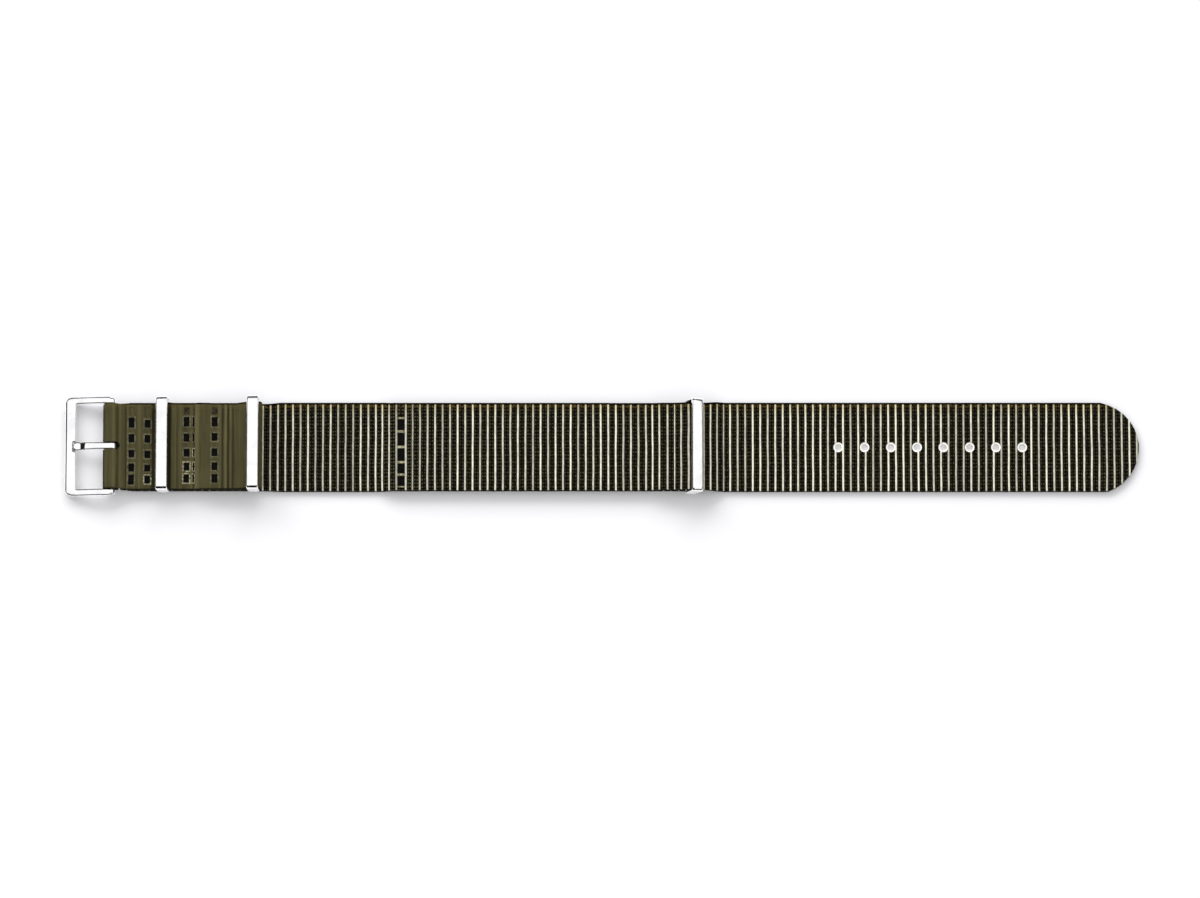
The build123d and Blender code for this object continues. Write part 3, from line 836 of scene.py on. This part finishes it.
def striped_face(tree, webbing):
    """Pale cords, painted lighter on their crests and each with its own tone, on dark bands with faint ribs of
    warp yarn.
    """
    place, along, across = weave_of(tree)
    distance, number = from_cord(tree, along, webbing)
    cord = webbing.cord / MM
    own = add(tree, "ShaderNodeTexWhiteNoise", {"W": number}, noise_dimensions="1D").outputs["Value"]
    strained = crease_shade_and_strain_of(tree)
    # The yarns of a cord are twisted, with 2.1 mm from turn to turn.
    inputs = {"Vector": place, "Scale": 0.30, "Distortion": 0.6, "Detail": 2.0}
    twist = add(tree, "ShaderNodeTexWave", inputs, bands_direction="DIAGONAL").outputs["Fac"]
    # A cord is painted lighter on its crest and darker on its flanks, as light and shade fall on it. The cords
    # grow duller towards the buckle, and the fifth weld has dulled those beside it.
    tone_and_painted_shade = shaded(
        tree,
        (distance, cord * 0.5, cord * 0.1, 0.42, 1.0),
        (own, 0.0, 1.0, 0.62, 1.12),
        (along, -215.0, -120.0, 0.76, 1.0),
        (strained, -1.0, -0.1, 0.8, 1.0),
        (uneven(tree, place, 3.0, stretch=(0.3, 1.6, 1)), 0.3, 0.7, 0.86, 1.1),
        (twist, 0.0, 1.0, 0.9, 1.04),
    )
    # Towards the far edge the cords have yellowed.
    unlit = (0.02, 0.018, 0.008, 1)
    white, yellow = (layered(tree, unlit, (tone_and_painted_shade, dye)) for dye in (tuple(webbing.cord_colour), srgb("#c7b25e")))
    cords = layered(tree, white, (shaded(tree, (across, 7.0, 10.6, 0.0, 0.6)), yellow))
    # The two ribs of a dark band have short ticks 0.9 mm apart, twice the real yarn spacing, so that they show.
    # The fifth weld has drawn them up.
    off_rib = add(tree, "ShaderNodeMath", {0: distance, 1: cord * 1.14}, operation="SUBTRACT").outputs[0]
    off_rib = add(tree, "ShaderNodeMath", {0: off_rib}, operation="ABSOLUTE").outputs[0]
    inputs = {"Vector": place, "Scale": 0.36, "Distortion": 1.4, "Detail": 2.0}
    ticks = add(tree, "ShaderNodeTexWave", inputs, bands_direction="Y").outputs["Fac"]
    ribs = shaded(
        tree,
        (off_rib, 0.26, 0.06),
        (ticks, 0.3, 0.8),
        (uneven(tree, place, 0.8, 3.0, (0.8, 0.5, 1)), 0.38, 0.62, 0.15, 1.0),
        (strained, -1.0, 0.0, 2.4, 1.0),
    )
    # Brown loops of the edge's yarn show between the ends of the cords.
    loops = shaded(tree, (across, 9.4, 10.2), (uneven(tree, place, 0.6), 0.45, 0.68, 0.0, 0.8))
    tone = shaded(tree, (uneven(tree, place, 9.0, stretch=(0.25, 1, 1)), 0.35, 0.65))
    bands = layered(
        tree,
        tuple(webbing.band_colour),
        (tone, srgb("#0a0907")),
        (ribs, tuple(webbing.tick_colour)),
        (loops, srgb("#5c4a22")),
    )
    # The far edge is knitted in dark yarn; the near edge, which faces away from the lamp, is painted dark as
    # shade over the cords' ends.
    colour = layered(
        tree,
        bands,
        (shaded(tree, (distance, cord * 0.52, cord * 0.36)), cords),
        (shaded(tree, (across, 10.4, 10.55)), srgb("#0b0a07")),
        (shaded(tree, (across, -10.86, -10.96)), srgb("#0b0a07")),
    )
    surface(tree, colour, 0.85, summed(tree, (ribs, 0.5), (twist, 0.3)), 0.35, Specular_IOR_Level=0.03)


def olive_back(tree, webbing):
    """Olive warp with faint ribs, streaks and patches, with painted light on the cords' ridges and painted shade
    in the tail's creases.
    """
    place, along, across = weave_of(tree)
    streaks = uneven(tree, place, 1.1, 3.0, (0.35, 9, 1))
    crease = crease_shade_and_strain_of(tree)
    # The warp's threads lie 0.5 mm apart.
    inputs = {"Vector": place, "Scale": 0.62, "Distortion": 1.0, "Detail": 1.0}
    threads = add(tree, "ShaderNodeTexWave", inputs, bands_direction="Y").outputs["Fac"]
    # Painted light and shade: lighter over the cords' ridges, darker in crease hollows and darkest at the fold,
    # lighter on crease ridges.
    tone_and_painted_shade = shaded(
        tree,
        (from_cord(tree, along, webbing)[0], 0.9, 0.1, 0.94, 1.06),
        (streaks, 0.3, 0.7, 0.84, 1.12),
        (uneven(tree, place, 6.0, stretch=(0.8, 1.3, 1)), 0.3, 0.7, 0.93, 1.07),
        (threads, 0.0, 1.0, 0.975, 1.02),
        (crease, -1.0, 1.0, 0.45, 1.5),
        (crease, -3.0, -1.2, 0.3, 1.0),
    )
    tone_and_shade_grey = add(tree, "ShaderNodeCombineColor", {0: tone_and_painted_shade, 1: tone_and_painted_shade, 2: tone_and_painted_shade}).outputs[0]
    inputs = {0: 1.0, 6: tuple(webbing.back_colour), 7: tone_and_shade_grey}
    olive = add(tree, "ShaderNodeMix", inputs, data_type="RGBA", blend_type="MULTIPLY").outputs[2]
    # The outer yarns are browner, the far edge is knitted in dark yarn, and the near edge is painted dark as
    # shade.
    colour = layered(
        tree,
        olive,
        (shaded(tree, (across, 9.0, 10.4), (uneven(tree, place, 0.7), 0.35, 0.62, 0.1, 0.6)), srgb("#574a29")),
        (shaded(tree, (across, 10.45, 10.62)), srgb("#0b0a07")),
        (shaded(tree, (across, -10.5, -10.85)), srgb("#1b170d")),
    )
    surface(tree, colour, 0.8, summed(tree, (threads, 0.5), (streaks, 0.6)), 0.3, Specular_IOR_Level=0.08)


def pressed(tree, dark, light, roughness, grain):
    """Pressed and half melted polyester: uneven and a little shiny."""
    speckle = uneven(tree, weave_of(tree)[0], grain, 3.0)
    colour = layered(tree, dark, (shaded(tree, (speckle, 0.32, 0.68)), light))
    rough = shaded(tree, (speckle, 0.3, 0.7, roughness + 0.1, roughness))
    surface(tree, colour, rough, speckle, 0.5, Specular_IOR_Level=0.08)


def webbing_finishes(webbing, welds):
    """The webbing's finishes, in the order of its material slots."""
    return (
        # Woven polyester webbing, spun cord over filament warp: matt pale cords stand on dark bands
        finish_of("woven_polyester_striped_face", striped_face, webbing),
        # Woven polyester webbing, back: the olive warp floats over the cords, so it is smooth with faint ribs
        finish_of("woven_polyester_olive_back", olive_back, webbing),
        # Polyester pressed by the welding tool: the rim of a window is smoother and paler than the olive back
        finish_of("pressed_polyester_rim", pressed, srgb("#47432f"), tuple(welds.rim_colour), 0.5, 0.7),
        # Cord pressed flat by the welding tool: a dull cream frame round a window of the striped face
        finish_of("pressed_cord_rim", pressed, srgb("#4a4735"), srgb("#b1ad8c"), 0.5, 0.6),
        # Polyester melted through by ultrasonic welding: nearly black and glassy in the hollow
        finish_of("melted_polyester_window", pressed, srgb("#060506"), tuple(welds.floor_colour), 0.45, 0.5),
        # Polyester that the worn end of the welding tool has only marked: flattened, darker and still woven
        finish_of("faintly_pressed_polyester", pressed, srgb("#1b1a15"), srgb("#3b3829"), 0.6, 0.9),
        # Polyester cut with a hot knife: a hard dark bead of melted yarn along the cut
        finish_of("hot_cut_polyester", pressed, srgb("#15130c"), srgb("#38352a"), 0.4, 0.5),
        # Polyester melted by the hot punch: the ring and wall of a hole have gone pale and hard, and their
        # near-white is also painted light that stands in for the bright floor seen through the hole
        finish_of("hot_punched_polyester", pressed, srgb("#efede4"), srgb("#ffffff"), 0.4, 0.4),
    )


def on_metal(tree):
    """The place on a piece of metal, in millimetres."""
    place = add(tree, "ShaderNodeTexCoord").outputs["Object"]
    return add(tree, "ShaderNodeVectorMath", {0: place, "Scale": 1 / MM}, operation="SCALE").outputs["Vector"]


def polished_steel(tree, steel, foot=None):
    """Stainless steel 316L, mirror polished: bright and colourless, with hairlines from wear."""
    place = on_metal(tree)
    hairlines = uneven(tree, place, 0.35, 3.0, (1, 14, 1))
    smudges = uneven(tree, place, 4.0)
    dulled = shaded(tree, (smudges, 0.3, 0.7, steel.roughness, steel.roughness + 0.05))
    worn = shaded(tree, (hairlines, 0.55, 0.75, 0.0, 0.1))
    colour = layered(tree, tuple(steel.steel_colour), (shaded(tree, (smudges, 0.35, 0.7)), srgb("#e9e9ea")))
    radius = steel.rounding
    if foot:
        across = add(tree, "ShaderNodeSeparateXYZ", {"Vector": place}).outputs["Y"]
        aside = add(tree, "ShaderNodeMath", {0: across}, operation="ABSOLUTE").outputs[0]
        radius = shaded(tree, (aside, 10.6, 11.2, radius, foot))
    rounded = add(tree, "ShaderNodeBevel", {"Radius": radius}, samples=8).outputs["Normal"]
    surface(tree, colour, summed(tree, (dulled, 1.0), (worn, 1.0)), hairlines, 0.02, rounded, Metallic=1.0)


def drawn_steel(tree, steel):
    """Stainless steel, drawn and tumbled: greyer than the polished pieces, with fine lines round the bar."""
    lines = uneven(tree, on_metal(tree), 0.12, 3.0, (6, 1, 6))
    colour = layered(tree, srgb("#a3a29e"), (shaded(tree, (lines, 0.35, 0.65)), tuple(steel.drawn_colour)))
    surface(tree, colour, shaded(tree, (lines, 0.3, 0.7, 0.24, 0.36)), lines, 0.05, Metallic=1.0)


def white_floor(tree, studio):
    """Matt white card: it glows a little for the camera, and more for the polished metal above it."""
    rays = add(tree, "ShaderNodeLightPath").outputs
    seen = {0: rays["Is Camera Ray"], 1: rays["Is Transmission Ray"]}
    seen = add(tree, "ShaderNodeMath", seen, operation="MAXIMUM").outputs[0]
    glow = summed(tree, (seen, 0.02), (rays["Is Glossy Ray"], 0.3))
    inputs = {"Base Color": tuple(studio.floor_colour), "Roughness": 0.9, "Specular IOR Level": 0.0}
    inputs.update({"Emission Color": (1, 1, 1, 1), "Emission Strength": glow})
    shader = add(tree, "ShaderNodeBsdfPrincipled", inputs)
    add(tree, "ShaderNodeOutputMaterial", {"Surface": shader.outputs["BSDF"]})


# The metal pieces


def arch(piece):
    """Arches the tongue's bar above its tip, which rests on the frame, and above the eye."""
    foot, eye = hinge.x - 7.75, hinge.x - 0.9
    steps = [(foot, TIP_LIFT), (foot + 0.35, 0.18), (foot + 0.95, 0.4), (foot + 1.4, 0.46)]
    steps += [(eye - 1.8, 0.3), (eye, 0)]
    edit(piece)
    for x, _ in steps:
        cut((x, 0, 0), (1, 0, 0))
    leave()
    for vertex in piece.data.vertices:
        if vertex.co.x <= foot:
            vertex.co.z += TIP_LIFT
        for (x0, rise0), (x1, rise1) in zip(steps, steps[1:]):
            if x0 < vertex.co.x <= x1 + 0.001:
                vertex.co.z += rise0 + (rise1 - rise0) * (vertex.co.x - x0) / (x1 - x0)
                break


def keep_side(piece, out):
    """Keeps the half of a piece on one side of the strap's middle line, and closes it there."""
    edit(piece)
    cut((0, 0, 0), (0, out, 0), clear_inner=True, use_fill=True)
    leave()


def worked_copy(node, name, body, slot_name, finish, soft=0, shape=None):
    """A copy of a metal solid with its edges softened by polishing, in that solid's place."""
    piece = holder_of(name, frame["nodes"][node].data.copy())
    piece.data.name = name
    reshape(piece, scale=(1 / MM, 1 / MM, 1 / MM))
    edit(piece)
    bpy.ops.mesh.select_all(action="SELECT")
    bpy.ops.mesh.remove_doubles(threshold=0.002)
    bpy.ops.mesh.dissolve_limited(angle_limit=math.radians(0.6))
    leave()
    if shape:
        shape(piece)
    if soft:
        modify(piece, "BEVEL", width=soft, segments=3, limit_method="ANGLE", angle_limit=math.radians(40))
    bpy.ops.object.shade_smooth_by_angle(angle=math.radians(32))
    piece.data.materials.clear()
    piece.data.materials.append(finish)
    to_scene(piece, body, slot_name, node)
    return piece


class STRAP_OT_main_webbing(bpy.types.Operator):
    """The long webbing, from the turned end of the tail round the bars to the tip"""

    bl_idname = "strap.main_webbing"
    bl_label = "Main webbing"

    def execute(self, context):
        webbing, welds = context.scene.strap_webbing, context.scene.strap_welds
        way = Way(corner_lists(webbing)[0])
        last_cord = webbing.last_cord / MM
        piece = flat_webbing("main_webbing", webbing, way.length, last_cord)
        edit(piece)
        fold = way.ends[FOLD]
        give(piece, BACK, lambda f: f.normal.z < 0.75 and f.calc_center_median().x < fold)
        weld_tail(piece, welds, way)
        fifth = weld_face(piece, welds, webbing, way)
        cut_tip(piece, way.length)
        draw_in_neck(webbing, fold)
        leave()
        cut_slot(piece, way.at(hinge.x + SLOT_ABOVE, *TAIL), way.at(hinge.x + SLOT_BELOW, *BELOW))
        punch_holes(piece, webbing, welds, way.length - LAST_HOLE_TO_TIP)
        shaded_creases = [(way.at(place, *TAIL), half, rise) for place, half, rise in SHADED_CREASES]
        note_places(piece, way.length - last_cord, shaded_creases, fifth)
        push_apart(piece, fifth, reach=3.4, factor=1.5)
        loosen(piece, scale=7.0)
        for start, stop, corners, far, near in SPREADS:
            high = way.at(stop, *corners) if stop < strap_tip else math.inf
            spread(piece, way.at(start, *corners), high, far, near)
        bend_along(piece, way)
        lean(piece)
        finish_webbing(piece, context.scene, "main_strap")
        return {"FINISHED"}


class STRAP_OT_under_webbing(bpy.types.Operator):
    """The short webbing beneath, turned round the bar of the end keeper"""

    bl_idname = "strap.under_webbing"
    bl_label = "Under webbing"

    def execute(self, context):
        webbing = context.scene.strap_webbing
        way = Way(corner_lists(webbing)[1])
        piece = flat_webbing("under_webbing", webbing, way.length, UNDER_LAST_CORD)
        edit(piece)
        give(piece, CUT, lambda f: abs(f.normal.x) > 0.9)
        leave()
        note_places(piece, way.length - UNDER_LAST_CORD, [])
        loosen(piece, scale=9.0)
        bend_along(piece, way)
        finish_webbing(piece, context.scene, "under_strap")
        return {"FINISHED"}


class STRAP_OT_keepers(bpy.types.Operator):
    """The three polished rings that hold the webbing's layers"""

    bl_idname = "strap.keepers"
    bl_label = "Keepers"

    def execute(self, context):
        steel = context.scene.strap_steel
        # The rings are tumbled after bending, which rounds their feet more than their flat tops.
        finish = finish_of("tumbled_polished_steel", polished_steel, steel, steel.foot_rounding)
        for place in ("front", "middle", "end"):
            names = f"keeper_{place}", f"{place}_keeper", f"{place}_ring"
            worked_copy(*names, "polished_steel", finish, steel.softness / MM)
        return {"FINISHED"}


class STRAP_OT_buckle(bpy.types.Operator):
    """The buckle's frame and its tongue"""

    bl_idname = "strap.buckle"
    bl_label = "Buckle"

    def execute(self, context):
        steel = context.scene.strap_steel
        finish, soft = finish_of("polished_stainless_steel", polished_steel, steel), steel.softness / MM
        worked_copy("buckle_frame", "frame_of_buckle", "buckle", "polished_steel", finish, soft)
        worked_copy("buckle_tongue", "tongue_of_buckle", "tongue", "polished_steel", finish, soft, arch)
        return {"FINISHED"}


class STRAP_OT_spring_bar(bpy.types.Operator):
    """The spring bar's tube, its two sprung tips and the coil between them"""

    bl_idname = "strap.spring_bar"
    bl_label = "Spring bar"

    def execute(self, context):
        finish = finish_of("drawn_stainless_steel", drawn_steel, context.scene.strap_steel)
        for node, body in (("tube", "buckle"), ("tip_left", "tip_left"), ("tip_right", "tip_right")):
            worked_copy(f"spring_bar_{node}", f"bar_{node}", body, "spring_bar_steel", finish)
        # The coil is split into two halves, one beside each tip, which slides inwards; both halves stay on the
        # buckle.
        for side, out in (("left", 1), ("right", -1)):
            names = "spring_bar_coil", f"bar_coil_{side}", "buckle", "spring_bar_steel"
            coil = worked_copy(*names, finish, shape=lambda piece: keep_side(piece, out))
            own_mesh(coil)
        return {"FINISHED"}


class STRAP_OT_studio(bpy.types.Operator):
    """The pale floor, the softbox, the light all round, and the camera above the strap"""

    bl_idname = "strap.studio"
    bl_label = "Studio"

    def execute(self, context):
        scene, studio = context.scene, context.scene.strap_studio
        self.floor(studio)
        self.world(scene)
        self.lamp("key_softbox", LAMP_PLACE, LAMP_SIZE, LAMP_POWER)
        self.camera(scene, studio)
        return {"FINISHED"}

    def floor(self, studio):
        """A large floor that shows white, and keeps the strap's shadow."""
        floor = primitive("studio_floor", bpy.ops.mesh.primitive_plane_add, size=8, location=(0, 0, -0.00002))
        floor.data.materials.append(finish_of("matt_white_studio_floor", white_floor, studio))

    def world(self, scene):
        """Soft light from above, and dark walls with two bright windows for the polished metal to mirror."""
        world = bpy.data.worlds.new("studio_world")
        world.use_nodes = True
        tree = world.node_tree
        tree.nodes.clear()
        direction = add(tree, "ShaderNodeTexCoord").outputs["Generated"]
        parts = add(tree, "ShaderNodeSeparateXYZ", {"Vector": direction}).outputs
        height = parts["Z"]
        # The window overhead is narrow across the strap and wide along it: it whitens level tops, the buckle's
        # arms and the tongue, and leaves the rounded edges beside them dark. The window towards the tip whitens
        # the end keeper, which leans that way.
        aside = add(tree, "ShaderNodeMath", {0: parts["Y"], 1: MIRRORED_ACROSS}, operation="SUBTRACT").outputs[0]
        aside = add(tree, "ShaderNodeMath", {0: aside}, operation="ABSOLUTE").outputs[0]
        overhead = shaded(tree, (aside, 0.22, 0.34, 1.0, 0.0), (height, 0.68, 0.84))
        ahead = shaded(tree, (parts["X"], 0.5, 0.6), (height, 0.48, 0.58))
        bright = add(tree, "ShaderNodeMath", {0: overhead, 1: ahead}, operation="MAXIMUM").outputs[0]
        mirrored = shaded(tree, (bright, 0.0, 1.0, 0.01, 1.15))
        level = shaded(tree, (height, -0.1, 0.5, 0.5, 0.76))
        rays = add(tree, "ShaderNodeLightPath").outputs
        for ray, seen in (("Is Glossy Ray", mirrored), ("Is Camera Ray", 1.0)):
            level = add(tree, "ShaderNodeMix", {0: rays[ray], 2: level, 3: seen}).outputs[0]
        background = add(tree, "ShaderNodeBackground", {"Color": (1, 1, 1, 1), "Strength": level})
        add(tree, "ShaderNodeOutputWorld", {"Surface": background.outputs[0]})
        scene.world = world
        scene.view_settings.view_transform = "Standard"

    def lamp(self, name, place, size, power):
        """A rectangular softbox that faces the strap; polished metal mirrors the windows instead of it."""
        light = bpy.data.lights.new(name, "AREA")
        light.shape = "RECTANGLE"
        light.size, light.size_y = size
        light.energy = power
        holder = holder_of(name, light)
        holder.location = place
        holder.rotation_euler = (-Vector(place)).to_track_quat("-Z", "Y").to_euler()
        holder.visible_glossy = False

    def camera(self, scene, studio):
        """A long lens above the strap, tipped a little towards its near edge."""
        aim = Vector((studio.aim_x, studio.aim_y, 0))
        back = Vector((0, -math.cos(studio.elevation), math.sin(studio.elevation)))
        data = bpy.data.cameras.new("studio_camera")
        data.sensor_width = 36
        data.lens = 36 * studio.distance / studio.view_width
        data.clip_start, data.clip_end = 0.05, 20
        camera = holder_of("studio_camera", data)
        camera.location = aim + back * studio.distance
        camera.rotation_euler = (-back).to_track_quat("-Z", "Y").to_euler()
        scene.camera = camera


class STRAP_PT_panel(bpy.types.Panel):
    """The strap's pieces and their sizes"""

    bl_idname = "STRAP_PT_panel"
    bl_label = "Watch strap"
    bl_space_type = "VIEW_3D"
    bl_region_type = "UI"
    bl_category = "Strap"

    def draw(self, context):
        for operator in OPERATORS:
            self.layout.operator(operator.bl_idname)
        for name, group in GROUPS.items():
            box = self.layout.box()
            for prop in group.__annotations__:
                box.prop(getattr(context.scene, name), prop)


OPERATORS = (
    STRAP_OT_studio,
    STRAP_OT_main_webbing,
    STRAP_OT_under_webbing,
    STRAP_OT_keepers,
    STRAP_OT_buckle,
    STRAP_OT_spring_bar,
)


def register():
    for cls in (*GROUPS.values(), *OPERATORS, STRAP_PT_panel):
        bpy.utils.register_class(cls)
    for name, group in GROUPS.items():
        setattr(bpy.types.Scene, name, PointerProperty(type=group))


def unregister():
    for name in GROUPS:
        delattr(bpy.types.Scene, name)
    for cls in reversed((*GROUPS.values(), *OPERATORS, STRAP_PT_panel)):
        bpy.utils.unregister_class(cls)


def main():
    """Makes the studio and every piece."""
    register()
    bpy.ops.strap.studio()
    bpy.ops.strap.main_webbing()
    bpy.ops.strap.under_webbing()
    bpy.ops.strap.keepers()
    bpy.ops.strap.buckle()
    bpy.ops.strap.spring_bar()
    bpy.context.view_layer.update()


if __name__ == "__main__":
    main()
